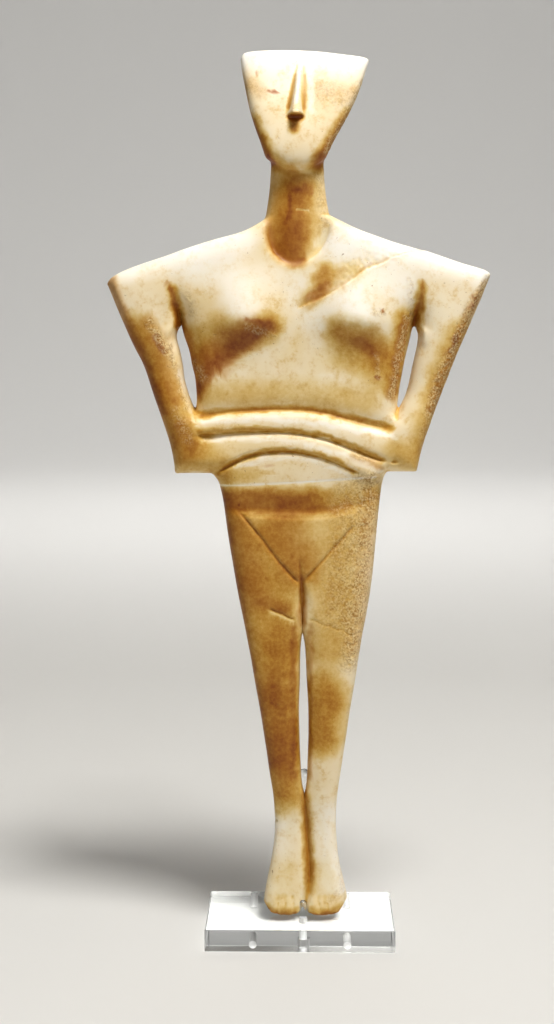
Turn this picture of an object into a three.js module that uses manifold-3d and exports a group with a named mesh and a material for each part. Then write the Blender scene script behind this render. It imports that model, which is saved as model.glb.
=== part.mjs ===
// Cycladic figurine of white marble with folded arms, on a clear acrylic stand.
// Millimetres, +Z up. The origin is the middle of the slab's underside, and the figure looks towards -Y.
import * as THREE from 'three';
import { mergeVertices } from 'three/addons/utils/BufferGeometryUtils.js';
import Module from 'manifold-3d';

const wasm = await Module();
wasm.setup();

// Stand
const slabWidth = 85;
const slabDepth = 50;
const slabThickness = 10;
const slabChamfer = 0.4;
const slabOffset = 1.15; // the slab's middle lies this far to the right of the shoulders' middle
const wallBoreDiameter = 3.6; // blind bores in the back edge, for wall pins
const wallBoreDepth = 18;
const wallBoreSpacing = 43.4;
const frontPinDiameter = 3;
const frontPinRise = 8; // above the slab
const rearPostDiameter = 5;
const rearPostRise = 64;
const boreFloor = 2; // acrylic left under the pin and the post
const boreClearance = 0.3; // around and under the pin and the post
const standClearance = 0.3; // between the marble and the acrylic
const roundSides = 20;

// Figure: all that follows is in thousandths of its height, from the sole at 0 to the crown at 1000
const figureHeight = 387;
const share = figureHeight / 1000;
const soleLevel = slabThickness + standClearance;

const breast = { left: -60, right: 64, level: 697, height: 15.5, halfWidth: 34, above: 44, below: 21 };
// Each groove runs from its left to its right end, with a fade beyond either
const foldedArms = {
  height: 6, rise: 60, slope: 0.25, sideInset: 2, sideFade: 6, grooveDepth: 4.5, grooveReach: 9,
  upperGroove: [-109, 104, 4, 8], lowerGroove: [-109, 84, 4, 24], footGroove: [-86, 64, 10, 12],
};
const belly = { height: 2, left: -80, right: 62, fade: 14, rim: 0.13 };
const abdomen = { depth: 3.6, lip: 0.88, halfWidth: 62, fade: 24 };
const armGroove = {
  depth: 9, halfWidth: 14, topHalfWidth: 4, bottom: 640, fullFrom: 678, fadeFrom: 694, top: 750,
};
const slit = { bottom: 138, top: 343 }; // the opening between the legs
const legCleft = { halfWidth: 6, fadeFrom: 346, top: 430, frontDepth: 15 };
const seatCleft = { halfWidth: 9, fadeFrom: 400, top: 462, depth: 8 };
const footCleft = { halfWidth: 6.5, frontDepth: 9, backDepth: 7 };
const spine = { depth: 2.6, halfWidth: 12, top: 770, bottom: 500, fade: 30 };
const heelLift = { level: 90, height: 30 }; // the soles slope down to the toes
const edgeShare = 0.4; // of the half thickness, kept at the outline
const faceCrown = 0.22; // of the half thickness, lost towards the sides of the face
const nose = {
  top: 979, bottom: 921, topPlace: 1, bottomPlace: -3.5, topHalfWidth: 1.6, bottomHalfWidth: 8.7,
  spread: 1.3, ridgeShare: 0.4, height: 13, root: 8,
};
const incision = { halfWidth: 1.9, depth: 2.1, rise: 4 };
const pubicLines = [
  [[-65, 477], [-44, 451], [-22, 422], [1, 397]],
  [[63, 463], [39, 436], [21, 415], [8, 399]],
];
const toe = { perFoot: 5, bigToeShare: 0.16, tip: -8, bend: 8, top: 25, halfWidth: 1.2, depth: 1.8 };
const chip = { size: [14, 18, 13], turn: [12, -28, 24], at: [59, -20, 9] };

const marble = new THREE.MeshStandardMaterial({ color: 0xdcc08e, roughness: 0.55, metalness: 0 });
const acrylic = new THREE.MeshStandardMaterial({
  color: 0xdfe6ea, roughness: 0.05, metalness: 0, transparent: true, opacity: 0.35,
});

const mix = (a, b, t) => a + (b - a) * t;
const clamp = (t) => Math.min(1, Math.max(0, t));

function ease(from, to, value) {
  const t = clamp((value - from) / (to - from));
  return t * t * (3 - 2 * t);
}

// A smooth function through [position, value] points that never overshoots them
function smoothLine(points) {
  const last = points.length - 1;
  const slope = (i) => (points[i + 1][1] - points[i][1]) / (points[i + 1][0] - points[i][0]);
  const tangent = points.map((point, i) => {
    if (i === 0) return slope(0);
    if (i === last) return slope(last - 1);
    const before = slope(i - 1);
    const after = slope(i);
    return before * after <= 0 ? 0 : (2 * before * after) / (before + after);
  });
  return (position) => {
    const at = Math.min(points[last][0], Math.max(points[0][0], position));
    let i = 0;
    while (i < last - 1 && at > points[i + 1][0]) i += 1;
    const step = points[i + 1][0] - points[i][0];
    const t = (at - points[i][0]) / step;
    const rise = points[i + 1][1] - points[i][1];
    const c = 3 * rise - step * (2 * tangent[i] + tangent[i + 1]);
    const d = step * (tangent[i] + tangent[i + 1]) - 2 * rise;
    return points[i][1] + t * (step * tangent[i] + t * (c + t * d));
  };
}

// Solids

function closedGeometry(points, faces) {
  let volume = 0;
  for (const [a, b, c] of faces) volume += points[a].dot(points[b].clone().cross(points[c]));
  const order = volume < 0 ? ([a, b, c]) => [a, c, b] : (face) => face;
  const geometry = new THREE.BufferGeometry();
  geometry.setAttribute('position', new THREE.Float32BufferAttribute(points.flatMap((p) => p.toArray()), 3));
  geometry.setIndex(faces.flatMap(order));
  return geometry;
}

function toSolid(source) {
  const bare = source.clone();
  bare.deleteAttribute('normal');
  bare.deleteAttribute('uv');
  const merged = mergeVertices(bare, 1e-4);
  const vertProperties = new Float32Array(merged.attributes.position.array);
  const triVerts = new Uint32Array(merged.index.array);
  return new wasm.Manifold(new wasm.Mesh({ numProp: 3, vertProperties, triVerts }));
}

function toGeometry(solid) {
  const mesh = solid.getMesh();
  const geometry = new THREE.BufferGeometry();
  geometry.setAttribute('position', new THREE.BufferAttribute(mesh.vertProperties, 3));
  geometry.setIndex(new THREE.BufferAttribute(mesh.triVerts, 1));
  geometry.computeVertexNormals();
  return geometry;
}

const place = (x, y, z) => new THREE.Vector3(x * share, y * share, z * share + soleLevel);

// A closed solid through rings of equally many points, with flat ends
function loft(rings) {
  const count = rings[0].length;
  const points = rings.flat();
  const faces = [];
  for (let k = 0; k < rings.length - 1; k += 1) {
    for (let i = 0; i < count; i += 1) {
      const [a, b] = [k * count + i, k * count + ((i + 1) % count)];
      faces.push([a, b, b + count], [a, b + count, a + count]);
    }
  }
  const top = (rings.length - 1) * count;
  for (let i = 1; i < count - 1; i += 1) {
    faces.push([0, i + 1, i], [top, top + i, top + i + 1]);
  }
  return toSolid(closedGeometry(points, faces));
}

// A solid from a flat net of four-sided cells, with a front and a back surface and a wall round its rim
function netSolid(net, frontOf, backOf) {
  const count = net.nodes.length;
  const rim = [];
  const edges = new Set(net.cells.flatMap((cell) => cell.map((a, i) => `${a},${cell[(i + 1) % 4]}`)));
  for (const edge of edges) {
    const [a, b] = edge.split(',').map(Number);
    if (!edges.has(`${b},${a}`)) rim.push([a, b]);
  }
  const toRim = ([x, z]) => Math.min(...rim.map(([a, b]) => {
    const [ax, az] = net.nodes[a];
    const [ux, uz] = [net.nodes[b][0] - ax, net.nodes[b][1] - az];
    const t = clamp(((x - ax) * ux + (z - az) * uz) / (ux * ux + uz * uz));
    return Math.hypot(x - ax - t * ux, z - az - t * uz);
  }));
  const inset = net.nodes.map(toRim);
  const front = net.nodes.map((node, i) => frontOf(...node, inset[i]));
  const back = net.nodes.map((node, i) => backOf(...node, inset[i]));
  const faces = [];
  // Each cell is split along its flatter diagonal
  const split = (skin, [a, b, c, d]) => (Math.abs(skin[a].y - skin[c].y) <= Math.abs(skin[b].y - skin[d].y)
    ? [[a, b, c], [a, c, d]]
    : [[a, b, d], [b, c, d]]);
  for (const cell of net.cells) {
    faces.push(...split(front, cell));
    for (const [a, b, c] of split(back, cell)) faces.push([a + count, c + count, b + count]);
  }
  for (const [a, b] of rim) faces.push([b, a, a + count], [b, a + count, b + count]);
  return toSolid(closedGeometry([...front, ...back], faces));
}

// How much of the half thickness is left at a distance from the outline
function rollOff(inset, radius) {
  const t = 1 - Math.min(1, inset / radius);
  return edgeShare + (1 - edgeShare) * Math.sqrt(1 - t * t);
}

// The level where an upright line crosses a curve that runs across the figure, found by halving
function crossing(line, curve) {
  let [low, high] = [-50, 1050]; // from below the sole to above the crown
  const halvings = 40;
  for (let i = 0; i < halvings; i += 1) {
    const middle = (low + high) / 2;
    if (curve(line(middle)) > middle) low = middle;
    else high = middle;
  }
  return (low + high) / 2;
}

// Outline of the body: sideways places by level
const armLeft = smoothLine([
  [521, -140.7], [550, -145.5], [605, -163.5], [642, -175.5], [669, -189], [721, -211], [736, -217.2],
  [800, -239],
]);
const armRight = smoothLine([
  [524, 135.3], [551, 141.5], [610, 162], [669, 185], [714, 204.5], [747, 217.2], [800, 236],
]);
const sideLeft = smoothLine([
  [0, -26], [3, -33], [12, -40.3], [22, -39.2], [60, -31.4], [100, -26.8], [116, -26.9], [184, -35.2],
  [299, -53.6], [402, -73.3], [467, -83.3], [490, -86.2], [513, -92], [521, -98.3], [548, -104.5],
  [592, -117.3], [605, -116.3], [653, -121.6], [683, -131], [700, -134], [761, -143], [830, -150],
]);
const sideRight = smoothLine([
  [0, 42], [4, 50], [16, 59.2], [34, 54.8], [72, 47.4], [112, 44.6], [142, 46.6], [204, 55.2], [310, 70.9],
  [402, 85.7], [467, 91.5], [491, 93.8], [514, 96.6], [524, 101], [548, 104.7], [590, 112], [606, 113.8],
  [642, 119.3], [678, 128], [700, 132], [761, 136.5], [830, 146],
]);
const middle = smoothLine([
  [0, 6.5], [20, 10.5], [44, 14.5], [77, 12.3], [119, 9.8], [150, 7.4], [233, 6.8], [342, 5.3], [398, 4.6],
  [430, 2], [548, 0], [830, -0.8],
]);
const legGap = smoothLine([
  [slit.bottom, 0], [143, 6.5], [184, 12.1], [233, 14.5], [280, 11.6], [327, 7.8], [slit.top, 0],
]);
const slotLeft = smoothLine([
  [592, 0], [600, 4.4], [617, 10.3], [645, 13.6], [672, 12.7], [684, 8.7], [693, 0],
]);
const slotRight = smoothLine([
  [596, 0], [602, 5.5], [611, 8.6], [642, 10.3], [662, 9.6], [682, 6.9], [690, 0],
]);

// Curves across the body: levels by sideways place
const shoulders = smoothLine([
  [-217.2, 735], [-216.4, 741], [-206, 748], [-153.6, 766.5], [-103.7, 784], [-67.3, 793], [-49.2, 799.5],
  [-40, 807], [-34, 813], [0, 816], [34, 813], [44, 806.5], [56.5, 802], [79.5, 792.5], [139.4, 774.5],
  [195, 756], [214.3, 751], [217.2, 746],
]);
const upperForearm = smoothLine([
  [-155, 585], [-109, 587], [-70, 592], [-28.7, 594], [14.5, 593], [61.2, 582], [105.9, 572], [150, 571],
]);
const lowerForearm = smoothLine([
  [-150, 565], [-110, 566], [-70, 570], [-25, 570], [16.3, 565], [61.2, 551], [97.2, 536], [140, 533],
]);
const forearmFoot = smoothLine([
  [-141, 521], [-98.3, 521], [-83.2, 528], [-47.8, 545], [-13.7, 548], [14.5, 544], [42.6, 535],
  [61.5, 524.5], [74, 520], [101, 524], [136, 524],
]);
const bellyFoot = smoothLine([[-92, 508], [-13.7, 511], [80, 516.5], [97, 517.5]]);
const abdomenFoot = smoothLine([
  [-84, 476], [-62.8, 475], [-13.7, 473], [23.8, 473], [57.9, 479], [91, 482],
]);
const toes = smoothLine([
  [-41, 14], [-37, 6], [-28, 1.5], [-12, 0], [2, 2], [6.5, 6], [11, 2], [26, 0], [44, 2], [54, 8],
  [59.5, 17],
]);
const level = (height) => () => height;
const thighTop = 398; // where the cut between the thighs begins
const ankle = 98;

// Depths by level
const bodyFront = smoothLine([
  [0, -17.5], [10, -19.5], [30, -17], [60, -13.5], [100, -11.5], [155, -17.5], [210, -21.5], [336, -26],
  [400, -27], [520, -25.5], [600, -24], [700, -25.2], [775, -21], [824, -17.5],
]);
const bodyBack = smoothLine([
  [0, 12], [30, 19], [60, 15.5], [100, 12], [155, 17], [210, 19.5], [270, 18.5], [336, 21], [440, 27],
  [530, 22], [620, 23], [700, 24], [775, 22], [824, 18],
]);
const bodyRoll = smoothLine([[0, 13], [100, 15], [210, 17], [336, 23], [473, 26], [560, 19], [824, 17]]);

// The net of the body. Upright lines are spread between a figure's edges, and rows between the curves.
const torsoSpread = [0, 0.05, 0.14, 0.26, 0.4, 0.54, 0.68, 0.82, 0.94, 1];
const armSpread = [0.12, 0.36, 0.64, 0.88, 1];
const upperRows = [
  { from: shoulders, rows: [0, 0.012, 0.04, 0.09, 0.15, 0.22, 0.29, 0.36, 0.422, 0.456, 0.49, 0.525] },
  { from: shoulders, rows: [0.56, 0.6, 0.66, 0.73, 0.8, 0.86, 0.915, 0.955, 0.978] },
  { from: upperForearm, rows: [0, 0.17, 0.38, 0.62, 0.83] },
  { from: lowerForearm, rows: [0, 0.17, 0.38, 0.62, 0.83] },
];
const upperTo = [upperForearm, upperForearm, lowerForearm, forearmFoot];
const lowerRows = [
  { from: forearmFoot, rows: [0, 0.13, 0.35, 0.65] },
  { from: bellyFoot, rows: [0, 0.35, 0.7, abdomen.lip] },
  { from: abdomenFoot, rows: [0, 0.1, 0.33, 0.57, 0.79] },
  { from: level(thighTop), rows: [0, 0.3, 0.65] },
  { from: level(slit.top), rows: [0, 0.04, 0.1, 0.2, 0.3, 0.4, 0.5, 0.6, 0.7, 0.8, 0.9, 0.96] },
  { from: level(slit.bottom), rows: [0, 0.35, 0.7] },
  { from: level(ankle), rows: [0, 0.17, 0.34, 0.5, 0.65, 0.79, 0.9, 0.96, 1] },
];
const lowerTo = [
  bellyFoot, abdomenFoot, level(thighTop), level(slit.top), level(slit.bottom), level(ankle), toes,
];

function bodyNet() {
  const gap = (sign) => (z) => middle(z) + sign * legGap(z) / 2;
  const torsoLine = (sign, t) => (z) => mix(gap(sign)(z), (sign < 0 ? sideLeft : sideRight)(z), t);
  const armLine = (sign, t) => (z) => (sign < 0
    ? mix(sideLeft(z) - slotLeft(z), armLeft(z), t)
    : mix(sideRight(z) + slotRight(z), armRight(z), t));
  const lines = [
    ...armSpread.map((t) => ({ line: armLine(-1, t), arm: true })).reverse(),
    { line: armLine(-1, 0), arm: true, slot: slotLeft },
    ...torsoSpread.slice(1).map((t) => ({ line: torsoLine(-1, t) })).reverse(),
    { line: torsoLine(-1, 0), slot: legGap },
    { line: torsoLine(1, 0) },
    ...torsoSpread.slice(1).map((t) => ({ line: torsoLine(1, t) })),
    { line: armLine(1, 0), arm: true, slotBefore: slotRight },
    ...armSpread.map((t) => ({ line: armLine(1, t), arm: true })),
  ];
  lines.forEach((entry, i) => { if (entry.slotBefore) lines[i - 1].slot = entry.slotBefore; });
  const nodes = [];
  const cells = [];
  const rows = [];
  const addRow = (from, to, t, withArms) => {
    const row = lines.map((entry) => {
      if (entry.arm && !withArms) return null;
      const z = mix(crossing(entry.line, from), crossing(entry.line, to), t);
      return [entry.line(z), z];
    });
    rows.push(row);
  };
  upperRows.forEach(({ from, rows: steps }, i) => steps.forEach((t) => addRow(from, upperTo[i], t, true)));
  addRow(forearmFoot, bellyFoot, 0, true);
  const bodyStart = rows.length - 1;
  lowerRows.forEach(({ from, rows: steps }, i) => steps.forEach((t) => {
    if (i > 0 || t > 0) addRow(from, lowerTo[i], t, false);
  }));
  const index = rows.map((row) => {
    const ids = [];
    row.forEach((node, i) => {
      if (!node) {
        ids.push(-1);
        return;
      }
      const before = i > 0 && lines[i - 1].slot;
      const closed = before && row[i - 1] && before(node[1]) < 0.01;
      if (closed) {
        ids.push(ids[i - 1]);
        return;
      }
      nodes.push(node);
      ids.push(nodes.length - 1);
    });
    return ids;
  });
  for (let k = 0; k < rows.length - 1; k += 1) {
    for (let i = 0; i < lines.length - 1; i += 1) {
      if (lines[i].slot) continue;
      if (k >= bodyStart && (lines[i].arm || lines[i + 1].arm)) continue;
      cells.push([index[k + 1][i], index[k + 1][i + 1], index[k][i + 1], index[k][i]]);
    }
  }
  return { nodes, cells };
}

// Carving on the front of the body: how far it stands proud at a place
function frontRelief(x, z) {
  const within = (left, right, fade, rightFade = fade) => (
    ease(left - fade, left, x) * (1 - ease(right, right + rightFade, x)));
  // A band's section is round at both edges, and stands a little prouder below than above
  const crest = (t) => (
    Math.sqrt(Math.max(0, 1 - (2 * t - 1) ** 4)) * mix(1 - foldedArms.slope, 1, t));
  const { height, sideInset, grooveDepth, grooveReach } = foldedArms;
  const [upper, lower, foot] = [upperForearm(x), lowerForearm(x), forearmFoot(x)];
  const [waist, pubis] = [bellyFoot(x), abdomenFoot(x)];
  const onArm = 1 - within(sideLeft(z) + sideInset, sideRight(z) - sideInset, foldedArms.sideFade);
  if (z > upper) {
    const reach = z > breast.level ? breast.above : breast.below;
    const rise = ((z - breast.level) / reach) ** 2;
    const mound = (at) => Math.exp(-(((x - at) / breast.halfWidth) ** 2) - rise);
    const chest = breast.height * (mound(breast.left) + mound(breast.right));
    const side = within(...foldedArms.upperGroove);
    const groove = grooveDepth * Math.exp(-(((z - upper) / grooveReach) ** 2)) * side;
    return (chest - groove) * (1 - onArm) + onArm * height * (1 - ease(0, foldedArms.rise, z - upper));
  }
  if (z > lower) {
    const cut = within(...foldedArms.upperGroove) * (1 - crest((upper - z) / (upper - lower)));
    return height - (height + grooveDepth) * cut;
  }
  if (z > foot) {
    const t = (lower - z) / (lower - foot);
    const cut = within(...(t < 0.5 ? foldedArms.lowerGroove : foldedArms.footGroove)) * (1 - crest(t));
    return height - (height + grooveDepth) * cut;
  }
  if (z > waist) {
    const t = (foot - z) / (foot - waist);
    const round = mix(-grooveDepth, belly.height * (1 - t * t), ease(0, belly.rim, t));
    return mix(height * (1 - ease(0, 1, t)), round, within(belly.left, belly.right, belly.fade));
  }
  if (z > pubis) {
    const t = (waist - z) / (waist - pubis);
    const hollow = t < abdomen.lip ? ease(0, abdomen.lip, t) : 1 - ease(abdomen.lip, 1, t);
    return -abdomen.depth * hollow * within(-abdomen.halfWidth, abdomen.halfWidth, abdomen.fade);
  }
  return 0;
}

// Grooves that run down the middle, and the grooves between the arms and the ribs
function frontGrooves(x, z) {
  const across = (place, halfWidth) => Math.max(0, 1 - Math.abs(x - place) / halfWidth);
  const fork = legCleft.frontDepth * (1 - ease(legCleft.fadeFrom, legCleft.top, z));
  const thighs = z > slit.top ? fork * across(middle(z), legCleft.halfWidth) : 0;
  const feet = z < slit.bottom ? footCleft.frontDepth * across(middle(z), footCleft.halfWidth) : 0;
  if (z <= armGroove.bottom) return thighs + feet;
  const fade = ease(armGroove.fadeFrom, armGroove.top, z);
  const strength = ease(armGroove.bottom, armGroove.fullFrom, z) * (1 - fade);
  const halfWidth = mix(armGroove.halfWidth, armGroove.topHalfWidth, fade);
  const arms = Math.max(across(sideLeft(z), halfWidth), across(sideRight(z), halfWidth));
  return armGroove.depth * arms * strength;
}

function backGrooves(x, z) {
  const across = (halfWidth) => Math.max(0, 1 - Math.abs(x - middle(z)) / halfWidth);
  const fork = seatCleft.depth * (1 - ease(seatCleft.fadeFrom, seatCleft.top, z));
  const thighs = z > slit.top ? fork * across(seatCleft.halfWidth) : 0;
  const feet = z < slit.bottom ? footCleft.backDepth * across(footCleft.halfWidth) : 0;
  const start = ease(spine.bottom - spine.fade, spine.bottom, z);
  const end = 1 - ease(spine.top - spine.fade, spine.top, z);
  return thighs + feet + spine.depth * across(spine.halfWidth) * start * end;
}

function bodyFrontDepth(x, z, inset) {
  const half = (bodyBack(z) - bodyFront(z)) / 2;
  const axis = (bodyBack(z) + bodyFront(z)) / 2;
  const roll = rollOff(inset, bodyRoll(z));
  return axis - (half + frontRelief(x, z)) * roll + frontGrooves(x, z);
}

function bodyBackDepth(x, z, inset) {
  const half = (bodyBack(z) - bodyFront(z)) / 2;
  const axis = (bodyBack(z) + bodyFront(z)) / 2;
  return axis + half * rollOff(inset, bodyRoll(z)) - backGrooves(x, z);
}

function body() {
  const lift = (z) => z + heelLift.height * (1 - ease(0, heelLift.level, z));
  // The heels are as narrow as the foot is at their own height
  const narrowed = (x, z, to) => {
    const side = x < middle(z) ? sideLeft : sideRight;
    return middle(to) + ((x - middle(z)) * (side(to) - middle(to))) / (side(z) - middle(z));
  };
  return netSolid(
    bodyNet(),
    (x, z, inset) => place(x, bodyFrontDepth(x, z, inset), z),
    (x, z, inset) => {
      const to = lift(z);
      const across = z < heelLift.level ? narrowed(x, z, to) : x;
      return place(across, bodyBackDepth(across, to, inset), to);
    },
  );
}

// Head: a thin shield that leans back, with its chin over the neck
const faceLeft = smoothLine([
  [855, -27], [875, -36.8], [893, -42.8], [914, -50.3], [933, -55.9], [956, -60.6], [981, -65.2],
  [1000, -66],
]);
const faceRight = smoothLine([
  [855, 20], [874, 29.6], [893, 38.4], [928, 57.5], [948, 66.5], [971, 74.5], [987, 78.9], [1000, 80],
]);
const crown = smoothLine([
  [-65.5, 988], [-62.1, 994.5], [-30.4, 997.5], [6.8, 997], [52, 992], [75.6, 988.5], [78.9, 985],
]);
const chin = smoothLine([
  [-36.8, 875], [-24, 868], [-12, 862.5], [-1.8, 860.5], [10, 863], [20, 868], [29.6, 874],
]);
const faceFront = smoothLine([[856, -22], [866, -27], [884, -29], [930, -20], [970, -4], [1000, 10]]);
const faceBack = smoothLine([[858, 4], [880, 13], [930, 24], [970, 30], [1000, 30]]);
const faceRows = [0, 0.015, 0.05, 0.11, 0.19, 0.28, 0.37, 0.46, 0.55, 0.64, 0.73, 0.81, 0.88, 0.94, 0.98, 1];
const faceSpread = [0, 0.025, 0.075, 0.16, 0.27, 0.39, 0.5, 0.61, 0.73, 0.84, 0.925, 0.975, 1];
const faceRoll = 11;

function faceDepth(side) {
  return (x, z, inset) => {
    const [front, back] = [faceFront(z), faceBack(z)];
    const across = (2 * x - faceLeft(z) - faceRight(z)) / (faceRight(z) - faceLeft(z));
    const half = ((back - front) / 2) * (1 - faceCrown * across * across);
    return (front + back) / 2 + side * half * rollOff(inset, faceRoll);
  };
}

function head() {
  const nodes = [];
  const cells = [];
  const count = faceSpread.length;
  faceRows.forEach((t, k) => faceSpread.forEach((u, i) => {
    const line = (z) => mix(faceLeft(z), faceRight(z), u);
    const z = mix(crossing(line, crown), crossing(line, chin), t);
    nodes.push([line(z), z]);
    if (k > 0 && i > 0) {
      const corner = k * count + i;
      cells.push([corner - 1, corner, corner - count, corner - count - 1]);
    }
  }));
  const surface = (side) => (x, z, inset) => place(x, faceDepth(side)(x, z, inset), z);
  return netSolid({ nodes, cells }, surface(-1), surface(1));
}

function noseWedge() {
  const rings = [0, 0.3, 0.6, 0.85, 1].map((t) => {
    const z = mix(nose.top, nose.bottom, t);
    const x = mix(nose.topPlace, nose.bottomPlace, t);
    const halfWidth = mix(nose.topHalfWidth, nose.bottomHalfWidth, t ** nose.spread);
    const ridge = halfWidth * nose.ridgeShare;
    const skin = faceDepth(-1)(x, z, faceRoll);
    const crest = skin - nose.height * t;
    return [
      place(x - halfWidth, skin + nose.root, z), place(x - halfWidth, skin, z), place(x - ridge, crest, z),
      place(x + ridge, crest, z), place(x + halfWidth, skin, z), place(x + halfWidth, skin + nose.root, z),
    ];
  });
  return loft(rings);
}

// Neck, in a well cut into the chest with a rounded lower end
const neckHalfWidth = smoothLine([
  [740, 36], [805, 38], [817, 35.6], [830, 33], [848, 31], [863, 30.2], [890, 29],
]);
const neckFront = smoothLine([[740, -19.4], [770, -18.8], [800, -17.6], [830, -15.5], [890, -15]]);
const neckBack = smoothLine([[740, 14], [800, 18.5], [830, 20], [863, 22], [890, 22]]);
const neckAxis = -1.5;
const neckSpan = { bottom: 745, top: 890, rings: 10 };
const neckWell = { bottom: 757, lean: 4, shoulder: 803, top: 850, floor: 5, mouth: 60, inset: 1.2 };

function neck() {
  const rings = [];
  for (let k = 0; k <= neckSpan.rings; k += 1) {
    const z = mix(neckSpan.bottom, neckSpan.top, k / neckSpan.rings);
    const [front, back] = [neckFront(z), neckBack(z)];
    const ring = [];
    for (let i = 0; i < roundSides; i += 1) {
      const angle = (i / roundSides) * 2 * Math.PI;
      const x = neckAxis + neckHalfWidth(z) * Math.cos(angle);
      ring.push(place(x, (front + back) / 2 + ((back - front) / 2) * Math.sin(angle), z));
    }
    rings.push(ring);
  }
  return loft(rings);
}

function neckWellCut() {
  const halfWidth = (z) => neckHalfWidth(z) - neckWell.inset;
  const outline = [];
  const arcSteps = 14;
  const [reach, drop] = [halfWidth(neckWell.shoulder), neckWell.shoulder - neckWell.bottom];
  for (let i = 0; i <= arcSteps; i += 1) {
    const angle = Math.PI * (1 + i / arcSteps);
    const across = reach * Math.cos(angle) + neckWell.lean * Math.sin(angle);
    outline.push([across, neckWell.shoulder + drop * Math.sin(angle)]);
  }
  outline.push([halfWidth(neckWell.top), neckWell.top], [-halfWidth(neckWell.top), neckWell.top]);
  return loft([
    outline.map(([x, z]) => place(x, neckFront(z) + neckWell.floor, z)),
    outline.map(([x, z]) => place(x, -neckWell.mouth, z)),
  ]);
}

// Incised lines: a three-sided bar that follows the skin through a few places
function incisedBar(places, halfWidth, depth) {
  const [start, end] = [places[0], places[places.length - 1]];
  const length = Math.hypot(end[0] - start[0], end[1] - start[1]);
  const side = [-(end[1] - start[1]) / length, (end[0] - start[0]) / length];
  return loft(places.map(([x, z]) => {
    const skin = bodyFrontDepth(x, z, bodyRoll(z));
    const wide = halfWidth * (1 + incision.rise / depth);
    return [
      place(x, skin + depth, z),
      place(x - side[0] * wide, skin - incision.rise, z - side[1] * wide),
      place(x + side[0] * wide, skin - incision.rise, z + side[1] * wide),
    ];
  }));
}

function incisions() {
  const cuts = pubicLines.map((places) => incisedBar(places, incision.halfWidth, incision.depth));
  for (const side of [-1, 1]) {
    const outer = side < 0 ? sideLeft : sideRight;
    for (let i = 1; i < toe.perFoot; i += 1) {
      const at = (z) => mix(middle(z), outer(z), mix(toe.bigToeShare, 1, i / toe.perFoot));
      const root = (at(toe.top) + at(toe.bend)) / 2;
      const run = [[at(toe.bend), toe.tip], [at(toe.bend), toe.bend], [root, toe.top]];
      cuts.push(incisedBar(run, toe.halfWidth, toe.depth));
    }
  }
  return cuts;
}

// The broken little toe of the right foot
function toeChip() {
  const block = toSolid(new THREE.BoxGeometry(...chip.size.map((side) => side * share)));
  return block.rotate(chip.turn).translate(place(...chip.at).toArray());
}

function figurine() {
  let solid = body().subtract(neckWellCut()).add(neck()).add(head()).add(noseWedge());
  for (const cut of incisions()) solid = solid.subtract(cut);
  return toGeometry(solid.subtract(toeChip()));
}

// Stand

const cylinder = (diameter, length) => (
  toSolid(new THREE.CylinderGeometry(diameter / 2, diameter / 2, length, roundSides).rotateX(Math.PI / 2)));

// The marble's foremost and rearmost skin beside the pin and the post sets where they stand
const levelSteps = 20;
const levelsUpTo = (rise) => (
  Array.from({ length: levelSteps + 1 }, (_, i) => (i / levelSteps) * (rise / share)));
const toeFront = Math.min(...levelsUpTo(frontPinRise).map(bodyFront)) * share;
const heelBack = Math.max(...levelsUpTo(rearPostRise).map(bodyBack)) * share;
const pinNotch = (footCleft.frontDepth * share) / 3; // how far the pin sits into the notch between the feet
const frontPinAt = {
  x: middle(0) * share,
  y: toeFront + pinNotch - standClearance - frontPinDiameter / 2,
};
const rearPostAt = {
  x: middle(rearPostRise / share) * share,
  y: heelBack + standClearance + rearPostDiameter / 2,
};

function slab() {
  const [w, d] = [slabWidth / 2 - slabChamfer, slabDepth / 2 - slabChamfer];
  const corners = [[-w, -d], [w, -d], [w, d], [-w, d]].map(([x, y]) => new THREE.Vector2(x, y));
  const block = new THREE.ExtrudeGeometry(new THREE.Shape(corners), {
    depth: slabThickness - 2 * slabChamfer,
    bevelEnabled: true,
    bevelThickness: slabChamfer,
    bevelSize: slabChamfer,
    bevelSegments: 1,
  }).translate(slabOffset, 0, slabChamfer);
  let solid = toSolid(block);
  const sunk = slabThickness - boreFloor;
  for (const [at, diameter] of [[frontPinAt, frontPinDiameter], [rearPostAt, rearPostDiameter]]) {
    const bore = cylinder(diameter + 2 * boreClearance, 2 * sunk).translate([at.x, at.y, slabThickness]);
    solid = solid.subtract(bore);
  }
  for (const side of [-1, 1]) {
    const bore = cylinder(wallBoreDiameter, 2 * wallBoreDepth).rotate([90, 0, 0]);
    const x = slabOffset + (side * wallBoreSpacing) / 2;
    solid = solid.subtract(bore.translate([x, slabDepth / 2, slabThickness / 2]));
  }
  return toGeometry(solid);
}

// A round rod with a domed top
function domedRod(diameter, length) {
  const radius = diameter / 2;
  const profile = [new THREE.Vector2(0, 0), new THREE.Vector2(radius, 0)];
  const domeSteps = 4;
  for (let i = 0; i <= domeSteps; i += 1) {
    const angle = (i / domeSteps) * (Math.PI / 2);
    const across = i === domeSteps ? 0 : radius * Math.cos(angle);
    profile.push(new THREE.Vector2(across, length - radius + radius * Math.sin(angle)));
  }
  return new THREE.LatheGeometry(profile, roundSides).rotateX(Math.PI / 2);
}

function named(name, geometry, material) {
  const mesh = new THREE.Mesh(geometry, material);
  mesh.name = name;
  return mesh;
}

const group = new THREE.Group();
group.add(named('figurine', figurine(), marble));
group.add(named('stand_slab', slab(), acrylic));

const rods = [
  ['front_pin', frontPinAt, frontPinDiameter, frontPinRise],
  ['rear_post', rearPostAt, rearPostDiameter, rearPostRise],
];
for (const [name, at, diameter, rise] of rods) {
  const bottom = boreFloor + boreClearance;
  const rod = named(name, domedRod(diameter, slabThickness - bottom + rise), acrylic);
  rod.position.set(at.x, at.y, bottom);
  group.add(rod);
}

export default group;
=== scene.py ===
import math

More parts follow.
